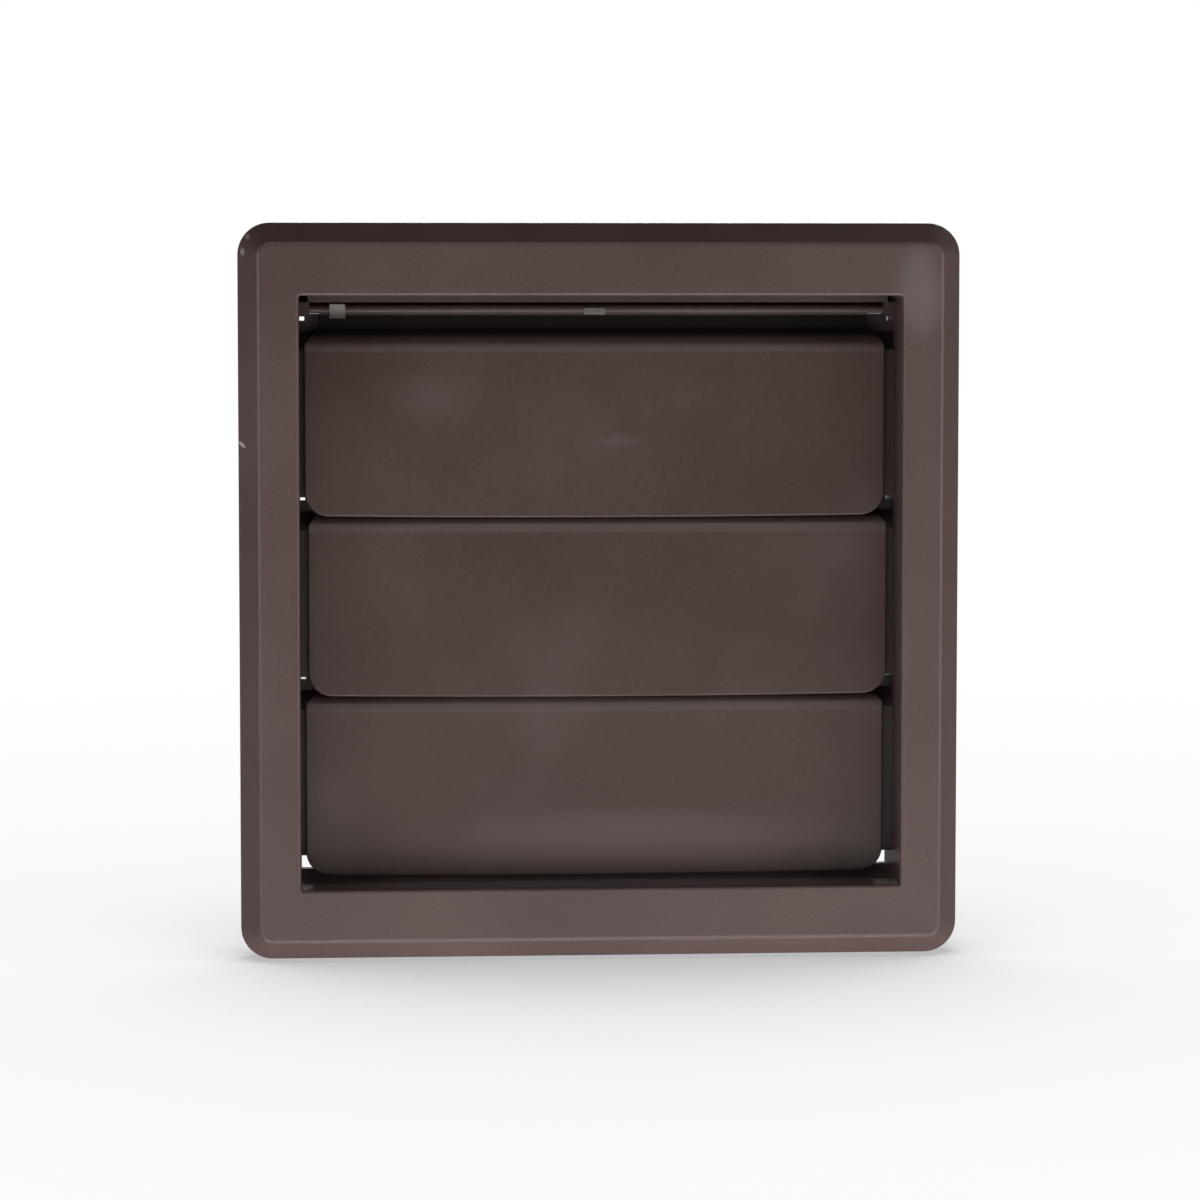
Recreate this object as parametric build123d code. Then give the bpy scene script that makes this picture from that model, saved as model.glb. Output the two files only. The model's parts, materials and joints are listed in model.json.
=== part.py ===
from build123d import *
import os
from math import radians, sqrt, tan

# Gravity flap vent: a square moulded frame with three flaps that hang from pins in its side walls.
# The origin is the middle of the wall plane, which the rim of the flange rests on.
# +X is to the right as seen from the room or street, +Y goes into the wall and +Z is up.
# A depth is measured back from the front face of the flange.

# Flange: the visible bevelled face, moulded as a hollow shell
frame_width = 140.0
frame_height = 142.8
side_face = 11.7
end_face = 14.0
flange_depth = 10.0
flange_wall = 2.0
corner_radius = 6.2
bevel_width = 4.0
bevel_depth = 5.2
crease_radius = 1.2
brow_radius = 0.8

# Collar: the open square tube behind the flange, which goes into the wall
collar_depth = 12.0
collar_wall = 1.8
collar_lead = 0.8
throat_corner = 0.6
mouth_radius = 0.5

# Webs that tie the collar to the skirt of the flange, from behind
web_thickness = 1.4
web_setback = 0.5
web_spread = 62.0

# Flaps: a flat blade, a shoulder stepped back under the flap above, and a hinge bead along the top
flap_names = ("upper_flap", "middle_flap", "lower_flap")
axis_drop = 2.7
sill_gap = 1.1
lap = 5.4
lap_clearance = 0.3
side_gap = 1.55
blade_depth = 10.3
blade_thickness = 1.3
step_back = 4.2
bend_radius = 1.5
blade_corner = 4.7
edge_crown = 0.4
edge_radius = 0.35
neck_inset = 2.9
neck_slope = 3.6
neck_above_heel = 0.4

# Hinge: a bead on the flap, with a pin at each end in a bracket on the side wall
bead_radius = 0.9
pin_radius = 0.8
pin_clearance = 0.05
end_play = 0.65
slip_left = 0.6
bracket_reach = 2.0
bracket_wall = 0.55

# Small forms on the hinge bead: a lug near its left end and the mark of the moulding gate in the middle
lug_width = 3.0
lug_height = 2.8
lug_depth = 2.6
lug_inset = 2.1
lug_drop = 0.3
gate_width = 3.9
gate_height = 1.3
gate_depth = 1.3
gate_drop = 0.3
small_round = 0.25

# Stops: ribs on the side walls that follow the flaps' backs, with a pad behind each neck and a slot
stop_clearance = 0.4
stop_reach = 2.6
stop_thickness = 2.0
stop_above_sill = 5.2
pad_reach = 4.8
slot_width = 1.0
slot_height = 0.8

# Lips: one on the sill, lower at its ends, one along the top, and an apron at the back above the beads
sill_lip_height = 3.0
sill_lip_inset = 3.6
sill_end_height = 2.6
top_lip_depth = 9.6
top_lip_height = 1.3
top_lip_thickness = 1.6
top_lip_inset = 1.75
apron_height = 3.0
apron_thickness = 1.0

# Sizes that follow from those above
throat_width = frame_width - 2 * side_face
throat_height = frame_height - 2 * end_face
flap_pitch = (throat_height - axis_drop - sill_gap - lap) / len(flap_names)
flap_reach = flap_pitch + lap
blade_width = throat_width - 2 * side_gap
bead_length = blade_width - 2 * neck_inset
pin_span = throat_width - 2 * end_play
hinge_depth = blade_depth + step_back
stop_depth = blade_depth + blade_thickness + stop_clearance
bracket_height = 2 * (pin_radius + pin_clearance + bracket_wall)
bracket_depth = 2 * (hinge_depth - stop_depth)
blade_set = blade_thickness / 2 - step_back
heel_drop = lap + lap_clearance * sqrt(2) + blade_thickness / 2 + blade_thickness / sqrt(2)
knee_drop = heel_drop + blade_set
neck_drop = heel_drop - neck_above_heel - neck_slope
flap_axes = [throat_height / 2 - axis_drop - index * flap_pitch for index in range(len(flap_names))]
flap_slips = (-slip_left, 0.0, -slip_left)


def at_depth(depth):
    """The Y of a point that lies this far behind the front face."""
    return depth - flange_depth


def block(x_span, depth_span, z_span):
    """A box between two X values, two depths and two Z values."""
    size = (x_span[1] - x_span[0], depth_span[1] - depth_span[0], z_span[1] - z_span[0])
    middle = (sum(x_span) / 2, at_depth(sum(depth_span) / 2), sum(z_span) / 2)
    return Pos(*middle) * Box(*size)


def both_sides(x_inner, x_outer):
    """The X spans of a form on the right wall and of its twin on the left wall."""
    return ((x_inner, x_outer), (-x_outer, -x_inner))


def tube_core(width, height, radius, depth_span):
    """A rounded rectangle that faces front, extruded from one depth to another."""
    front, back = depth_span
    face = Plane.XZ * RectangleRounded(width, height, radius)
    return Pos(0, at_depth(back), 0) * extrude(face, back - front)


def bevelled_block(inset, front):
    """The flange's outer form moved in by a wall thickness, with its bevel still parallel to the outside."""
    width = frame_width - 2 * inset
    height = frame_height - 2 * inset
    blank = tube_core(width, height, corner_radius - inset, (front, flange_depth))
    slant = sqrt(bevel_width**2 + bevel_depth**2)
    across = bevel_width + inset * (slant - bevel_width) / bevel_depth - inset
    along = bevel_depth + inset * (slant - bevel_depth) / bevel_width - inset
    face = blank.faces().sort_by(Axis.Y)[0]
    return chamfer(face.edges(), length=across, length2=along, reference=face)


def flange():
    """The hollow flange: a bevelled shell with its corners eased, open at the back."""
    outside = bevelled_block(0, 0)
    crease = outside.faces().sort_by(Axis.Y)[0].edges()
    outside = fillet(crease, crease_radius)
    brow = outside.edges().filter_by_position(
        Axis.Y, at_depth(bevel_depth) - crease_radius / 4, at_depth(bevel_depth) + crease_radius / 4
    )
    outside = fillet(brow, brow_radius)
    return outside - bevelled_block(flange_wall, flange_wall)


def collar():
    """The square tube from the flange's skin to the back, with its rear edge eased to enter the wall."""
    width = throat_width + 2 * collar_wall
    height = throat_height + 2 * collar_wall
    depth = flange_depth + collar_depth
    tube = tube_core(width, height, throat_corner + collar_wall, (flange_wall / 2, depth))
    return chamfer(tube.faces().sort_by(Axis.Y)[-1].edges(), collar_lead)


def flange_webs():
    """Two webs behind each side of the flange, from collar to skirt, kept just clear of the wall."""
    depth_span = (flange_wall / 2, flange_depth - web_setback)
    collar_x = throat_width / 2 + collar_wall / 2
    collar_z = throat_height / 2 + collar_wall / 2
    skirt_x = frame_width / 2 - flange_wall / 2
    skirt_z = frame_height / 2 - flange_wall / 2
    webs = []
    for place in (-web_spread / 2, web_spread / 2):
        across = (place - web_thickness / 2, place + web_thickness / 2)
        webs += [block(span, depth_span, across) for span in both_sides(collar_x, skirt_x)]
        webs += [block(across, depth_span, span) for span in both_sides(collar_z, skirt_z)]
    # What would stand out of the slanted bevel is trimmed off along the middle of the skin
    return [web & bevelled_block(flange_wall / 2, flange_wall / 2) for web in webs]


def pivot_brackets():
    """A small block on each side wall for each flap, bored for its pin."""
    wall_x = throat_width / 2
    depth_span = (stop_depth, stop_depth + bracket_depth)
    brackets = []
    for axis_z in flap_axes:
        bore = Pos(0, at_depth(hinge_depth), axis_z) * Rot(0, 90, 0) * Cylinder(
            pin_radius + pin_clearance, throat_width
        )
        z_span = (axis_z - bracket_height / 2, axis_z + bracket_height / 2)
        for x_span in both_sides(wall_x - bracket_reach, wall_x + collar_wall / 2):
            brackets.append(block(x_span, depth_span, z_span) - bore)
    return brackets


def rib_section(low_end):
    """A rib cut across, with the hinge axis at the origin: it runs down at the clearance from the flap.

    Offsetting a line with bends of 45 degrees moves each bend down by the offset times tan(22.5 degrees).
    """
    bend = tan(radians(45 / 2))
    high_end = -bracket_height / 2 + bracket_wall
    front = blade_thickness / 2 + stop_clearance
    back = front + stop_thickness
    lines = []
    for offset in (front, back):
        knee = (offset, -knee_drop - offset * bend)
        heel = (blade_set + offset, -heel_drop - offset * bend)
        lines.append([(offset, high_end), knee, heel, (blade_set + offset, low_end)])
    return make_face(Polyline(lines[0] + lines[1][::-1], close=True))


def side_ribs():
    """The stop ribs and neck pads on both side walls, with a slot below each bracket."""
    wall_x = throat_width / 2
    root_x = wall_x + collar_wall / 2
    low_ends = [axis_z + bracket_height / 2 - bracket_wall for axis_z in flap_axes[1:]]
    low_ends.append(-throat_height / 2 + stop_above_sill)
    ribs = []
    for axis_z, low_end in zip(flap_axes, low_ends):
        for reach, end in ((stop_reach, low_end - axis_z), (pad_reach, -heel_drop - stop_thickness)):
            rib = extrude(Plane.YZ * rib_section(end), root_x - wall_x + reach)
            for left_x, _ in both_sides(wall_x - reach, root_x):
                ribs.append(Pos(left_x, at_depth(hinge_depth), axis_z) * rib)
    slots = []
    for axis_z in flap_axes:
        top = axis_z - bracket_height / 2
        for x_span in both_sides(wall_x - slot_width, wall_x):
            slots.append(block(x_span, (stop_depth, flange_depth + collar_depth), (top - slot_height, top)))
    return [rib - slots for rib in ribs]


def lips():
    """The lip on the sill with its lower ends, the lip along the top, and the apron at the back."""
    root = collar_wall / 2
    root_x = throat_width / 2 + root
    sill_x = throat_width / 2 - sill_lip_inset
    top_x = throat_width / 2 - top_lip_inset
    top_z = throat_height / 2
    back = flange_depth + collar_depth
    sill_span = (stop_depth, stop_depth + stop_thickness)
    top_span = (top_lip_depth, top_lip_depth + top_lip_thickness)
    return [
        block((-sill_x, sill_x), sill_span, (-top_z - root, sill_lip_height - top_z)),
        block((-root_x, root_x), sill_span, (-top_z - root, sill_end_height - top_z)),
        block((-top_x, top_x), top_span, (top_z - top_lip_height, top_z + root)),
        block((-root_x, root_x), (back - apron_thickness, back), (top_z - apron_height, top_z + root)),
    ]


def frame():
    """The whole frame moulding."""
    shell = flange() + collar() + flange_webs()
    through = (-flange_depth, 2 * flange_depth + collar_depth)
    shell -= tube_core(throat_width, throat_height, throat_corner, through)
    mouth = shell.faces().sort_by(Axis.Y)[0].inner_wires()[0].edges()
    shell = fillet(mouth, mouth_radius)
    return shell + pivot_brackets() + side_ribs() + lips()


def flap_section():
    """The flap cut across, with the hinge axis at the origin: web, shoulder and blade of one thickness.

    The shoulder slants at 45 degrees and passes the lower edge of the flap above at the lap clearance.
    """
    knee = (0, -knee_drop)
    heel = (blade_set, -heel_drop)
    middle_line = FilletPolyline((0, 0), knee, heel, (blade_set, -flap_reach), radius=bend_radius)
    return trace(middle_line, blade_thickness)


def flap_outline():
    """The flap seen from the front: a neck at the bead, a slope out to the blade, a crowned lower edge."""
    half = blade_width / 2
    neck = bead_length / 2
    low = edge_crown - flap_reach
    right = Polyline((neck, bead_radius), (neck, -neck_drop), (half, -neck_drop - neck_slope), (half, low))
    edges = right + ThreePointArc((half, low), (0, -flap_reach), (-half, low))
    edges += mirror(right, about=Plane.YZ)
    edges += Line((-neck, bead_radius), (neck, bead_radius))
    sheet = make_face(edges.edges())
    return fillet(sheet.vertices().sort_by(Axis.Y)[:2], blade_corner)


def bead_forms():
    """The lug near the bead's left end and the gate mark in its middle, eased along the bead."""
    lug_x = -bead_length / 2 + lug_inset + lug_width / 2
    lug = Pos(lug_x, 0, -lug_drop) * Box(lug_width, lug_depth, lug_height)
    gate = Pos(0, -gate_depth / 2, -gate_drop) * Box(gate_width, gate_depth, gate_height)
    return [fillet(form.edges().filter_by(Axis.X), small_round) for form in (lug, gate)]


def flap():
    """One flap moulding, with its hinge axis along X through the origin."""
    sheet = extrude(Plane.YZ * flap_section(), blade_width, both=True)
    sheet &= extrude(Plane.XZ * flap_outline(), 2 * step_back, both=True)
    front = sheet.faces().sort_by(Axis.Y)[0]
    shoulder_edge = front.edges().sort_by(Axis.Z)[-1]
    rim = [edge for edge in front.edges() if edge != shoulder_edge]
    sheet = fillet(rim, edge_radius)
    along_x = Rot(0, 90, 0)
    bead = along_x * Cylinder(bead_radius, bead_length)
    pins = along_x * Cylinder(pin_radius, pin_span)
    return sheet + bead + pins + bead_forms()


os.makedirs("parts", exist_ok=True)

export_step(frame(), "parts/frame.step")

flap_moulding = flap()
for name, axis_z, slip in zip(flap_names, flap_axes, flap_slips):
    placed = Pos(slip, at_depth(hinge_depth), axis_z) * flap_moulding
    export_step(placed, f"parts/{name}.step")
    print(name, "hinge axis at Y", round(at_depth(hinge_depth), 3), "Z", round(axis_z, 3))
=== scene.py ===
# %% [markdown]
# # A gravity flap vent
# This vent closes the outside end of a duct. It is moulded in brown plastic: one square frame, and
# three flaps that hang from pins in the frame's side walls. Air from the duct lifts the flaps, and
# their own weight shuts them. The solids are already modelled, in metres, so this lesson only gives
# them their finish, their light and their view.

# %% Load the solids
import json

import bpy
import numpy as np
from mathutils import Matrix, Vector


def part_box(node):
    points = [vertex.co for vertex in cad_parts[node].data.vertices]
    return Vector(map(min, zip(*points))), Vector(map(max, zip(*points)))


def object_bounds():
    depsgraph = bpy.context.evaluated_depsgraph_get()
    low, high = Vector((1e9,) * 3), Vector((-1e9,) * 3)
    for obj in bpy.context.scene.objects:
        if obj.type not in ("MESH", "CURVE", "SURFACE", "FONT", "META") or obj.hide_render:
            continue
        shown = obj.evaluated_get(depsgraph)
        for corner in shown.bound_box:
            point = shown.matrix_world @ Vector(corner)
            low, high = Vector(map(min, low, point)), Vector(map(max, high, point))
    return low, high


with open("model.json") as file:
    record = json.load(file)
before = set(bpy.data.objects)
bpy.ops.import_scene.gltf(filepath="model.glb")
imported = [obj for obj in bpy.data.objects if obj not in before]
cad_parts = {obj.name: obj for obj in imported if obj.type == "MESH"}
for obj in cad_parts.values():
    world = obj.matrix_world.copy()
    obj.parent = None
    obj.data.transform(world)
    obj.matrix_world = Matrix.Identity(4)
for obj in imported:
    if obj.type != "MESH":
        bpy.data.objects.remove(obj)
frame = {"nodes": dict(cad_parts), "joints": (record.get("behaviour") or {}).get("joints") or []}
solid_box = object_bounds()
millimetre = 0.001
middle = (solid_box[0] + solid_box[1]) / 2
front_y = solid_box[0].y
foot_z = solid_box[0].z
print("pieces:", ", ".join(sorted(frame["nodes"])))
print("size in mm:", [round(side / millimetre, 1) for side in solid_box[1] - solid_box[0]])

# %% [markdown]
# ## The camera
# The photograph looks at the vent from the front, a little from above and from the left. That shows in
# the throat: its sill and its right wall are seen, and its top and left wall are hidden. The eye's
# place is found from those walls. A camera that turns to face the vent would make its sides lean, so
# the lens is shifted slightly as well.

# %% Place the camera
photo_side = 1200
eye_left = 51.9 * millimetre
eye_above = 58.4 * millimetre
eye_distance = 732.8 * millimetre
aim_left = 4.9 * millimetre
aim_above = 9.3 * millimetre
view_width = 230.4 * millimetre
lens_shift = Vector((22.9, -54.5)) / photo_side

camera_data = bpy.data.cameras.new("photo_camera")
camera = bpy.data.objects.new("photo_camera", camera_data)
bpy.context.scene.collection.objects.link(camera)
camera.location = (middle.x - eye_left, front_y - eye_distance, middle.z + eye_above)
aim = Vector((middle.x - aim_left, front_y, middle.z + aim_above))
camera.rotation_euler = (aim - camera.location).to_track_quat("-Z", "Y").to_euler()
camera_data.lens = camera_data.sensor_width * eye_distance / view_width
camera_data.shift_x, camera_data.shift_y = lens_shift
bpy.context.scene.camera = camera
bpy.context.scene.view_settings.view_transform = "Standard"
print("lens in mm:", round(camera_data.lens, 1))

# %% [markdown]
# ## Nodes without fuss
# Each finish below is a small tree of nodes. A node could be added and wired by hand each time. One
# helper does both instead: a plain value is written on the input, and a socket is linked to it. That
# keeps each finish readable as a list of steps.

# %% Add and fill a node
def fill(tree, socket, value):
    """Links a socket to the input, or writes a plain value on it."""
    if isinstance(value, bpy.types.NodeSocket):
        tree.links.new(value, socket)
    else:
        socket.default_value = value


def add(tree, kind, settings=None, **inputs):
    """Adds a node, sets its own settings, then fills the inputs by name, with _ for a space."""
    node = tree.nodes.new("ShaderNode" + kind)
    for name, value in (settings or {}).items():
        setattr(node, name, value)
    for name, value in inputs.items():
        socket = next(s for s in node.inputs if s.enabled and s.name == name.replace("_", " "))
        fill(tree, socket, value)
    return node


print("node helpers: fill, add")

# %% Sums, steps and mixed colours
def arithmetic(tree, operation, first, second):
    """One sum, product or the like of two values, as a socket."""
    node = add(tree, "Math", {"operation": operation})
    fill(tree, node.inputs[0], first)
    fill(tree, node.inputs[1], second)
    return node.outputs[0]


def between(tree, value, low, high, to_low=0.0, to_high=1.0):
    """A smooth step: to_low up to low, to_high from high on, and an S curve between them."""
    smooth = {"interpolation_type": "SMOOTHSTEP"}
    step = add(
        tree, "MapRange", smooth, Value=value, From_Min=low, From_Max=high, To_Min=to_low, To_Max=to_high
    )
    return step.outputs["Result"]


def tint(tree, amount, below, above):
    """A colour that goes from one to the other as the amount goes from 0 to 1."""
    mix = add(tree, "Mix", {"data_type": "RGBA"})
    fill(tree, mix.inputs[0], amount)
    for socket, colour in zip(mix.inputs[6:8], (below, above)):
        fill(tree, socket, (*colour, 1.0) if isinstance(colour, tuple) else colour)
    return mix.outputs[2]


print("node helpers: arithmetic, between, tint")

# %% [markdown]
# ## The plastic
# The vent is moulded from a compound that is brown all through, so no paint can chip. A mould gives it
# a satin skin: fine grain, a faint unevenness where thick parts sank as they cooled, and cloudy patches
# that shine a little more. The brown itself is dark and warm. What greys it in the photograph is the
# room mirrored in the skin, so the colour stays dark here and the gloss is left to the shader and the
# lamps.

# %% The moulded skin
cloud_scale = 26.0
grain_scale = 1500.0
sink_scale = 55.0
satin_least = 0.36
satin_most = 0.46
plain_gloss = 0.5


def noise(tree, place, scale, detail, roughness):
    """Cloudy values from 0 to 1, with more lumps to the metre as the scale grows."""
    lumps = add(tree, "TexNoise", Vector=place, Scale=scale, Detail=detail, Roughness=roughness)
    return lumps.outputs["Fac"]


def moulded_skin(name, dark, light, seed):
    """A satin moulding: a mottled brown and cloudy gloss. Returns its tree and the sockets to finish it."""
    material = bpy.data.materials.new(name)
    material.use_nodes = True
    tree = material.node_tree
    tree.nodes.clear()
    place = add(tree, "TexCoord").outputs["Object"]
    shift = (seed, 2.0 * seed, 3.0 * seed)
    moved = add(tree, "Mapping", Vector=place, Location=shift).outputs["Vector"]
    clouds = noise(tree, moved, cloud_scale, detail=3.0, roughness=0.55)
    grain = noise(tree, moved, grain_scale, detail=2.0, roughness=0.6)
    sinks = noise(tree, moved, sink_scale, detail=1.0, roughness=0.4)
    half_grain = arithmetic(tree, "MULTIPLY", grain, 0.5)
    half_clouds = arithmetic(tree, "MULTIPLY", clouds, 0.5)
    mottle = between(tree, arithmetic(tree, "ADD", half_grain, half_clouds), 0.3, 0.7)
    return {
        "material": material,
        "tree": tree,
        "place": place,
        "clouds": clouds,
        "grain": grain,
        "sinks": sinks,
        "colour": tint(tree, mottle, dark, light),
        "roughness": between(tree, clouds, 0.3, 0.7, satin_least, satin_most),
        "gloss": plain_gloss,
    }


print("a skin starts as a mottled brown with a roughness of", satin_least, "to", satin_most)

# %% Bump and shader
plastic_ior = 1.5
sink_depth = 0.10 * millimetre
sink_strength = 0.5
grain_depth = 0.012 * millimetre
grain_strength = 0.35


def finish_skin(skin):
    """Joins the colour, the gloss and two sizes of bump of a skin to its shader."""
    tree = skin["tree"]
    sunk = add(tree, "Bump", Height=skin["sinks"], Strength=sink_strength, Distance=sink_depth)
    grained = add(
        tree,
        "Bump",
        Height=skin["grain"],
        Strength=grain_strength,
        Distance=grain_depth,
        Normal=sunk.outputs["Normal"],
    )
    shader = add(
        tree,
        "BsdfPrincipled",
        Base_Color=skin["colour"],
        Roughness=skin["roughness"],
        IOR=plastic_ior,
        Specular_IOR_Level=skin["gloss"],
        Normal=grained.outputs["Normal"],
    )
    add(tree, "OutputMaterial", Surface=shader.outputs["BSDF"])
    return skin["material"]


print("bumps in mm:", sink_depth / millimetre, grain_depth / millimetre)

# %% [markdown]
# ## Marks on the plastic
# Handling rubs the edges pale and leaves soft patches, and some of these pale edges and patches are
# painted highlights and painted light as well. They could be painted by hand on an unwrapped copy. Here
# each mark is worked out from the place on the piece instead, so it stays where it is when a flap
# swings. A Bevel node finds the edges: where its rounded normal leaves the true one, an edge is near.

# %% Rubbed edges, patches and boxes
edge_alike = 0.86
flat_alike = 0.998


def edge_rub_and_highlight(skin, reach, least, most):
    """Rubbed wear and painted edge highlight: nothing on a flat, and least to most, as the clouds go, near
    an edge.
    """
    tree = skin["tree"]
    rounded = add(tree, "Bevel", {"samples": 6}, Radius=reach).outputs["Normal"]
    true = add(tree, "NewGeometry").outputs["True Normal"]
    alike = add(tree, "VectorMath", {"operation": "DOT_PRODUCT"}, Vector=rounded)
    fill(tree, alike.inputs[1], true)
    near_edge = between(tree, alike.outputs["Value"], edge_alike, flat_alike, 1.0, 0.0)
    return arithmetic(tree, "MULTIPLY", near_edge, between(tree, skin["clouds"], 0.35, 0.65, least, most))


def patch(skin, centre, half, colour, amount, turn=0.0, softness=0.6):
    """Tints an ellipsoid of the skin, turned about Y, with a soft rim. Centre and half sizes are in mm."""
    tree = skin["tree"]
    scaled = add(
        tree,
        "Mapping",
        {"vector_type": "TEXTURE"},
        Vector=skin["place"],
        Location=Vector(centre) * millimetre,
        Rotation=(0.0, np.radians(turn), 0.0),
        Scale=Vector(half) * millimetre,
    )
    away = add(tree, "VectorMath", {"operation": "LENGTH"}, Vector=scaled.outputs["Vector"])
    covered = between(tree, away.outputs["Value"], 1.0 - softness, 1.0, amount, 0.0)
    skin["colour"] = tint(tree, covered, skin["colour"], colour)


def within(tree, place, centre, half):
    """1 inside a box given by its middle and its half sizes, and 0 outside it, with a slightly soft rim."""
    scaled = add(tree, "Mapping", {"vector_type": "TEXTURE"}, Vector=place, Location=centre, Scale=half)
    size = add(tree, "VectorMath", {"operation": "ABSOLUTE"}, Vector=scaled.outputs["Vector"])
    x, y, z = add(tree, "SeparateXYZ", Vector=size.outputs["Vector"]).outputs
    farthest = arithmetic(tree, "MAXIMUM", x, arithmetic(tree, "MAXIMUM", y, z))
    return between(tree, farthest, 0.96, 1.06, 1.0, 0.0)


print("marks: edge_rub_and_highlight, patch, within")

# %% [markdown]
# ## The frame's finish
# The frame has been handled: its edges are rubbed a shade lighter, which also serves as a painted edge
# highlight, and a short pale nick shows on the left bevel. Two pale spots on the upper left corner are
# painted glints, and a greyish patch over the upper right one is a painted sheen. Inside the throat a
# painted shade darkens the walls more with depth, and the sill is lightened with painted light. All of
# it is tinted over the brown in turn: the rubbed edges first, then the painted shade, and the small
# marks last.

# %% Start the frame with its rub and film
frame_dark = (0.078, 0.047, 0.043)
frame_light = (0.104, 0.064, 0.059)
frame_rubbed_and_lit = (0.165, 0.122, 0.114)
frame_edge = 0.9 * millimetre
throat_painted_shade = (0.036, 0.019, 0.018)
throat_centre = Vector((0.0, 0.0, 4.5)) * millimetre
throat_half = Vector((61.0, 30.0, 60.0)) * millimetre
shade_start = -9.0 * millimetre
shade_full = 3.0 * millimetre
shade_most = 0.85

skin = moulded_skin("frame_finish", frame_dark, frame_light, seed=0.31)
tree = skin["tree"]
# The pale edges are rubbed wear and also a painted edge highlight.
skin["colour"] = tint(tree, edge_rub_and_highlight(skin, frame_edge, 0.2, 0.65), skin["colour"], frame_rubbed_and_lit)
# Painted shade: the throat's walls are darkened more the deeper they lie.
inside = within(tree, skin["place"], throat_centre, throat_half)
depth = add(tree, "SeparateXYZ", Vector=skin["place"]).outputs["Y"]
painted_shade = arithmetic(tree, "MULTIPLY", inside, between(tree, depth, shade_start, shade_full, 0.0, shade_most))
skin["colour"] = tint(tree, painted_shade, skin["colour"], throat_painted_shade)
print("film in the throat, up to", shade_most, "of its colour")

# %% Mark the frame
sill_painted_light = (0.150, 0.118, 0.122)
frame_painted_sheen = (0.170, 0.143, 0.134)
nick_and_glint_pale = (0.42, 0.36, 0.33)
corner_painted_glints = {(-69.0, -6.1, 65.8): ((0.8, 1.6, 1.1), 0.6), (-68.0, -5.8, 68.6): ((0.7, 1.6, 0.9), 0.5)}

# Painted light: a pale band lightens the sill.
patch(skin, centre=(0.0, -3.0, -57.4), half=(64.0, 6.0, 1.6), colour=sill_painted_light, amount=0.8, softness=0.5)
# Painted sheen: a greyish patch over the upper right corner.
patch(
    skin,
    centre=(61.5, -10.0, 58.0),
    half=(5.6, 4.0, 11.5),
    colour=frame_painted_sheen,
    amount=0.5,
    turn=-4.0,
    softness=0.7,
)
patch(skin, centre=(-69.2, -5.6, 28.7), half=(1.3, 2.0, 0.45), colour=nick_and_glint_pale, amount=1.0, turn=40.0)
# Painted glints: two small pale spots on the upper left corner.
for glint_centre, (glint_half, glint_amount) in corner_painted_glints.items():
    patch(skin, glint_centre, glint_half, nick_and_glint_pale, glint_amount, softness=0.9)
frame["nodes"]["frame"].data.materials[0] = finish_skin(skin)
# The sill band is painted light, the bloom a painted sheen and the corner rubs painted glints.
print("frame marked with sill dust, a bloom, a nick and", len(corner_painted_glints), "rubs")

# %% [markdown]
# ## The flaps' finish
# The flaps are moulded apart from the frame, and come out a little greyer and smoother. Each was cut
# from its runner at two places on the hinge bead: a lug near the left end and a mark in the middle. Cut
# plastic whitens, so both are paler than the rest, and the lug has a painted highlight at its top and
# painted shade at its foot. The fold below the bead is matt, with a painted shade that makes it almost
# black, and the bend below that is lightened with painted light. The pale edges are rubbed wear and a
# painted edge highlight, hands have left soft pale patches, and the lowest flap's foot is lightened
# with painted light. Every mask is measured from the hinge, so one set of rules serves all three flaps.

# %% Masks for the fold and the bend
heel_light_amount = 0.45


def all_of(tree, first, *others):
    """The product of several masks."""
    for other in others:
        first = arithmetic(tree, "MULTIPLY", first, other)
    return first


def fold_shade_mask(tree, behind, under):
    """Where the painted shade goes: 1 in the fold between bead and blade, on the front of the web and of
    the slanted shoulder only.

    Both distances are from the hinge axis. On the shoulder's middle plane their sum stays the same.
    """
    deep = between(tree, behind, -3.0 * millimetre, -1.6 * millimetre)
    before_web = between(tree, behind, -0.2 * millimetre, 0.2 * millimetre, 1.0, 0.0)
    below_bead = between(tree, under, 0.9 * millimetre, 1.3 * millimetre)
    both = arithmetic(tree, "ADD", behind, under)
    before_shoulder = between(tree, both, 3.5 * millimetre, 4.3 * millimetre, 1.0, 0.0)
    return all_of(tree, deep, before_web, below_bead, before_shoulder)


def heel_painted_light(tree, under):
    """Painted light on the bend where shoulder and blade meet, as a soft band along the flap."""
    start = between(tree, under, 5.4 * millimetre, 6.8 * millimetre)
    end = between(tree, under, 7.4 * millimetre, 8.6 * millimetre, heel_light_amount, 0.0)
    return arithmetic(tree, "MULTIPLY", start, end)


print("masks: in the fold, along the heel")

# %% Cut marks, hand marks and painted light
flap_hazy = (0.100, 0.072, 0.069)
foot_painted_light = (0.135, 0.090, 0.086)
haze_scale = 34.0
haze_amount = 0.5
lug_centre = Vector((-50.25, 0.0, -0.3)) * millimetre
lug_half = Vector((1.55, 1.35, 1.45)) * millimetre
lug_top = -1.2 * millimetre
lug_foot = 1.6 * millimetre
gate_centre = Vector((0.0, -0.65, -0.3)) * millimetre
gate_half = Vector((2.0, 0.7, 0.7)) * millimetre
gate_amount = 0.3


def haze(skin):
    """A thin cloudy haze over the whole flap."""
    tree = skin["tree"]
    cloudy = noise(tree, skin["place"], haze_scale, detail=2.0, roughness=0.5)
    return arithmetic(tree, "MULTIPLY", between(tree, cloudy, 0.5, 0.85), haze_amount)


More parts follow.
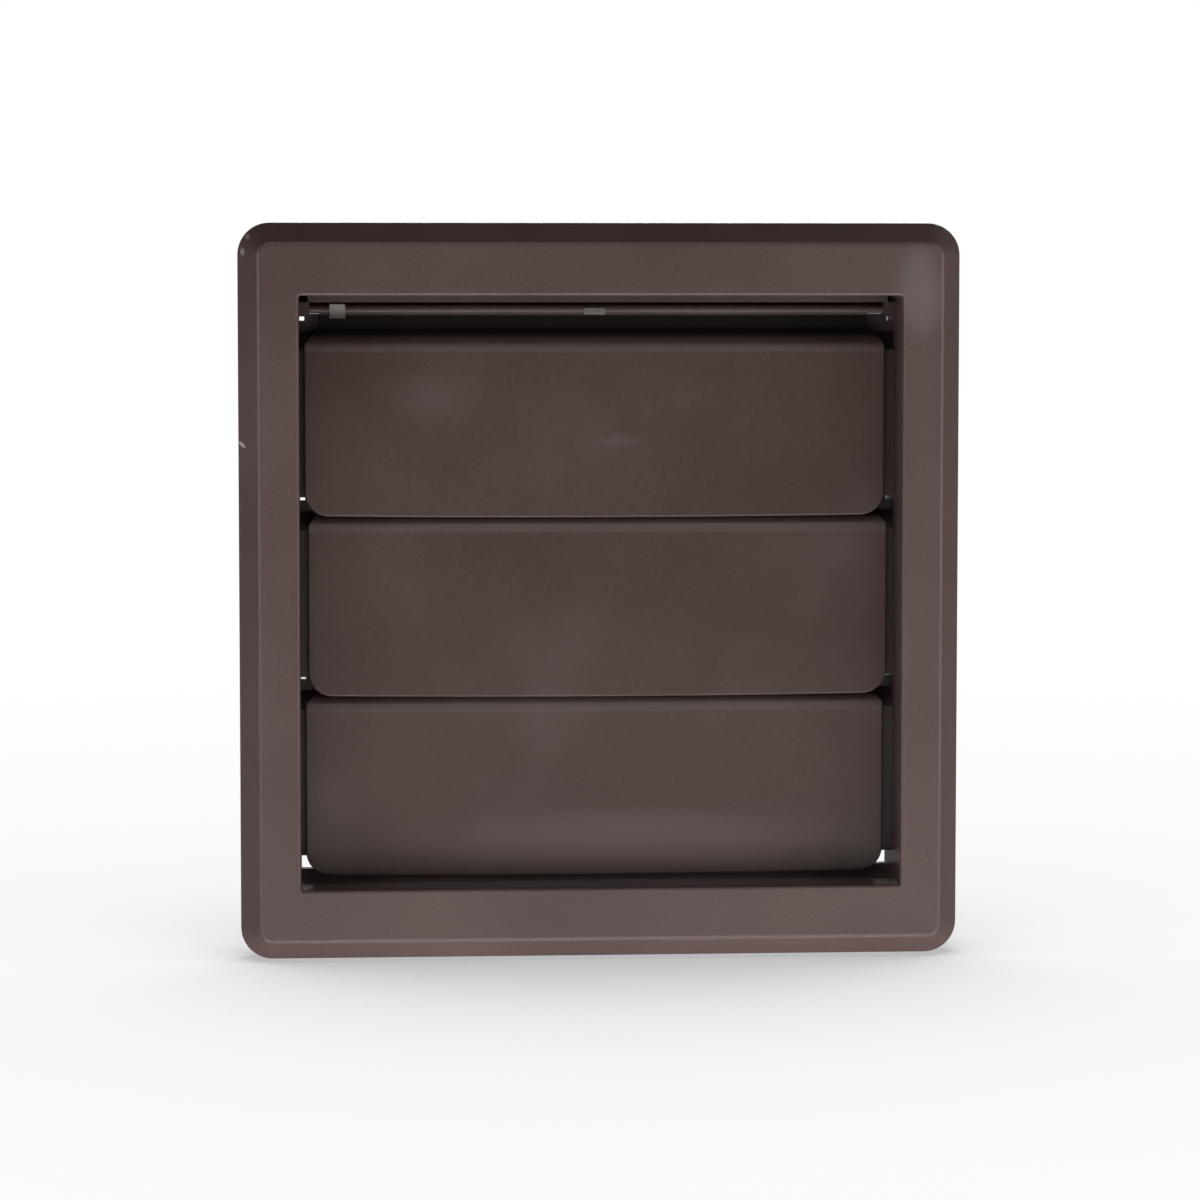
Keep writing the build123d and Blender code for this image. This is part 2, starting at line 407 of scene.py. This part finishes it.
def cut_mark_and_lug_light(skin, bead, under):
    """How white the cut plastic is: the lug, palest at its top as a painted highlight, and the mark in the
    middle of the bead.
    """
    tree = skin["tree"]
    lug = within(tree, skin["place"], bead + lug_centre, lug_half)
    gate = within(tree, skin["place"], bead + gate_centre, gate_half)
    # Painted highlight and shade: the lug is palest at its top and darker at its foot.
    lug = arithmetic(tree, "MULTIPLY", lug, between(tree, under, lug_top, lug_foot, 0.85, 0.25))
    return arithmetic(tree, "MAXIMUM", lug, arithmetic(tree, "MULTIPLY", gate, gate_amount))


def hand_marks_and_foot_light(skin, flap):
    """The soft patches of one flap: two smudges on the upper one, and painted light on the foot of the
    lowest.
    """
    if flap == "upper_flap":
        patch(skin, (3.7, 0.3, 29.0), (6.5, 2.0, 1.8), flap_hazy, 0.45, turn=-4.0, softness=0.8)
        patch(skin, (-34.0, 0.3, 37.7), (13.0, 2.0, 6.5), flap_hazy, 0.3, turn=12.0, softness=0.9)
    if flap == "lower_flap":
        # Painted light: the lowest flap's foot is lightened against the sill's shade.
        patch(skin, (8.0, 0.3, -50.0), (62.0, 4.0, 9.0), foot_painted_light, 0.8, softness=0.9)


print("marks: haze, cut_mark_and_lug_light, hand_marks_and_foot_light")

# %% Finish the flaps
flap_dark = (0.053, 0.030, 0.024)
flap_light = (0.073, 0.042, 0.034)
flap_rubbed_and_lit = (0.165, 0.135, 0.126)
flap_edge = 0.6 * millimetre
fold_painted_shade = (0.010, 0.008, 0.007)
fold_gloss = 0.05
cut_pale = (0.34, 0.325, 0.315)

hinges = {joint["child"]: Vector(joint["pos_m"]) for joint in frame["joints"]}
for index, (flap, hinge) in enumerate(hinges.items()):
    low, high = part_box(flap)
    bead = Vector(((low.x + high.x) / 2, hinge.y, hinge.z))
    skin = moulded_skin(flap + "_finish", flap_dark, flap_light, seed=1.7 + index)
    tree = skin["tree"]
    _, y, z = add(tree, "SeparateXYZ", Vector=skin["place"]).outputs
    behind = arithmetic(tree, "SUBTRACT", y, bead.y)
    under = arithmetic(tree, "SUBTRACT", bead.z, z)
    fold = fold_shade_mask(tree, behind, under)
    skin["colour"] = tint(tree, haze(skin), skin["colour"], flap_hazy)
    # The pale edges are rubbed wear and also a painted edge highlight.
    skin["colour"] = tint(tree, edge_rub_and_highlight(skin, flap_edge, 0.1, 0.6), skin["colour"], flap_rubbed_and_lit)
    hand_marks_and_foot_light(skin, flap)
    # Painted light: a pale band along the bend lightens its shade.
    skin["colour"] = tint(tree, heel_painted_light(tree, under), skin["colour"], flap_rubbed_and_lit)
    # Painted shade: the fold below the bead is darkened almost to black.
    skin["colour"] = tint(tree, fold, skin["colour"], fold_painted_shade)
    skin["colour"] = tint(tree, cut_mark_and_lug_light(skin, bead, under), skin["colour"], cut_pale)
    skin["gloss"] = between(tree, fold, 0.0, 1.0, plain_gloss, fold_gloss)
    frame["nodes"][flap].data.materials[0] = finish_skin(skin)
    print(flap, "finished, hinge in mm:", [round(v / millimetre, 1) for v in hinge])

# %% [markdown]
# ## The floor
# The photograph's ground is plain white. A flat floor would end in a line at the horizon, so this one
# is a studio cove: its profile runs level, turns up through a quarter circle and climbs behind the
# vent. To the lamps it is pale paint. To the camera it is lifted mostly to white, so little of the real
# shadow shows, and a painted shadow dims that white where the vent stands close above it.

# %% Build the cove
cove_front = -3.0
cove_turn = 1.2
cove_radius = 0.8
cove_height = 2.4
cove_half_width = 4.0
bend_points = 24
cove_columns = 5


def cove_profile(count):
    """Points (y, z) along the profile: the level run, a quarter circle, then the upright wall."""
    angle = np.linspace(0.0, np.pi / 2, count)
    bend_y = cove_turn + cove_radius * np.sin(angle)
    bend_z = cove_radius * (1.0 - np.cos(angle))
    y = np.concatenate(([cove_front], bend_y, [cove_turn + cove_radius]))
    z = np.concatenate(([0.0], bend_z, [cove_height])) + foot_z
    return y, z


def sweep(y, z, x):
    """A grid of points: the profile (y, z) carried along x. Returns the points and each face's corners."""
    across, along = np.meshgrid(x, np.arange(len(y)), indexing="ij")
    points = np.stack((across, y[along], z[along]), axis=-1).reshape(-1, 3)
    corner = np.arange(across.size).reshape(across.shape)
    faces = np.stack((corner[:-1, :-1], corner[1:, :-1], corner[1:, 1:], corner[:-1, 1:]), axis=-1)
    return points, faces.reshape(-1, 4)


cove_x = np.linspace(-cove_half_width, cove_half_width, cove_columns)
points, faces = sweep(*cove_profile(bend_points), cove_x)
cove_mesh = bpy.data.meshes.new("cove")
cove_mesh.from_pydata(points.tolist(), [], faces.tolist())
cove_mesh.shade_smooth()
cove = bpy.data.objects.new("cove", cove_mesh)
bpy.context.scene.collection.objects.link(cove)
print("cove:", len(points), "points,", len(faces), "faces")

# %% [markdown]
# ## The cove's paint
# The cove is a sheet of white acrylic. For the lamps it is a plain pale diffuse paint with a faint
# glow. For the camera it is mixed with an even white, and a painted shadow dims that white close to the
# vent, by how open the floor is to the sky, which an Ambient Occlusion node measures. The cove casts no
# shadow, so lamps beneath it can shine through.

# %% Paint the cove
cove_paint = (0.80, 0.80, 0.80, 1.0)
cove_glow = 0.062
cove_lift = 0.94
lift_near = 0.15
lift_far = 0.6
contact_reach = 0.2
painted_shadow_level = 0.5
contact_open = 0.4

material = bpy.data.materials.new("cove_acrylic")
material.use_nodes = True
tree = material.node_tree
tree.nodes.clear()
paint = add(tree, "BsdfDiffuse", Color=cove_paint)
glow = add(tree, "Emission", Strength=cove_glow)
lit = add(tree, "AddShader")
fill(tree, lit.inputs[0], paint.outputs["BSDF"])
fill(tree, lit.inputs[1], glow.outputs["Emission"])
# Painted shadow: the camera's white is dimmed where the vent closes in the floor.
open_sky = add(tree, "AmbientOcclusion", {"samples": 16}, Distance=contact_reach).outputs["AO"]
white = add(tree, "Emission", Strength=between(tree, open_sky, contact_open, 1.0, painted_shadow_level, 1.0))
seen = add(tree, "LightPath").outputs["Is Camera Ray"]
away = add(tree, "VectorMath", {"operation": "LENGTH"}, Vector=add(tree, "TexCoord").outputs["Object"])
lift = between(tree, away.outputs["Value"], lift_near, lift_far, cove_lift, 1.0)
shown = add(tree, "MixShader", Fac=arithmetic(tree, "MULTIPLY", seen, lift))
fill(tree, shown.inputs[1], lit.outputs["Shader"])
fill(tree, shown.inputs[2], white.outputs["Emission"])
add(tree, "OutputMaterial", Surface=shown.outputs["Shader"])
cove_mesh.materials.append(material)
cove.visible_shadow = False
print("cove paint lifted for the camera by", cove_lift)

# %% [markdown]
# ## The light
# In the photograph the top bevel is the darkest part of the frame and the bottom bevel the lightest, so
# the light comes from in front and from low down. The acrylic floor is therefore lit from beneath, as
# on a product photographer's table, and smaller soft boxes round the vent add the gloss of its edges.
# The two lamps below are large, so that their mirror image in the satin skin stays faint and the
# throat's shadows stay soft.

# %% Set the lamps
below_power = 2.9
under_power = 2.7
above_power = 0.65
left_power = 0.95
right_power = 1.2
back_power = 3.5


def soft_box(name, place, size, power):
    """A rectangular lamp at a place given from the vent's middle, turned to face it.

    Only rays sent to the lamp count, because those that leave the vent by chance would end at the floor.
    """
    data = bpy.data.lights.new(name, "AREA")
    data.shape = "RECTANGLE"
    data.size, data.size_y = size
    data.energy = power
    data.cycles.use_multiple_importance_sampling = False
    lamp = bpy.data.objects.new(name, data)
    bpy.context.scene.collection.objects.link(lamp)
    lamp.location = middle + Vector(place)
    lamp.rotation_euler = Vector(place).to_track_quat("Z", "Y").to_euler()
    lamp.visible_camera = False
    return lamp


lamps = [
    soft_box("below_box", place=(0.03, -0.28, -0.5), size=(1.1, 0.7), power=below_power),
    soft_box("under_box", place=(0.04, -0.42, -0.42), size=(1.2, 0.8), power=under_power),
    soft_box("above_box", place=(0.0, -0.3, 0.55), size=(0.6, 0.4), power=above_power),
    soft_box("left_box", place=(-0.55, -0.3, 0.02), size=(0.2, 0.4), power=left_power),
    soft_box("right_box", place=(0.55, -0.3, 0.02), size=(0.2, 0.4), power=right_power),
    soft_box("back_box", place=(0.3, 1.0, 0.6), size=(0.9, 0.6), power=back_power),
]
print("lamps in W:", {lamp.name: round(lamp.data.energy, 2) for lamp in lamps})

# %% [markdown]
# ## The dome
# Past the cove's edges lies the room, which the photograph doesn't show. A picture of a room could go
# there. A plain white is enough: full for the camera, so no edge shows, and faint for everything else.

# %% Light the dome
dome_glow = 0.008
dome_white = (1.0, 1.0, 1.0, 1.0)

world = bpy.data.worlds.new("studio")
bpy.context.scene.world = world
world.use_nodes = True
tree = world.node_tree
tree.nodes.clear()
seen = add(tree, "LightPath").outputs["Is Camera Ray"]
strength = arithmetic(tree, "MAXIMUM", seen, dome_glow)
sky = add(tree, "Background", Color=dome_white, Strength=strength)
add(tree, "OutputWorld", Surface=sky.outputs["Background"])
print("dome glow:", dome_glow)
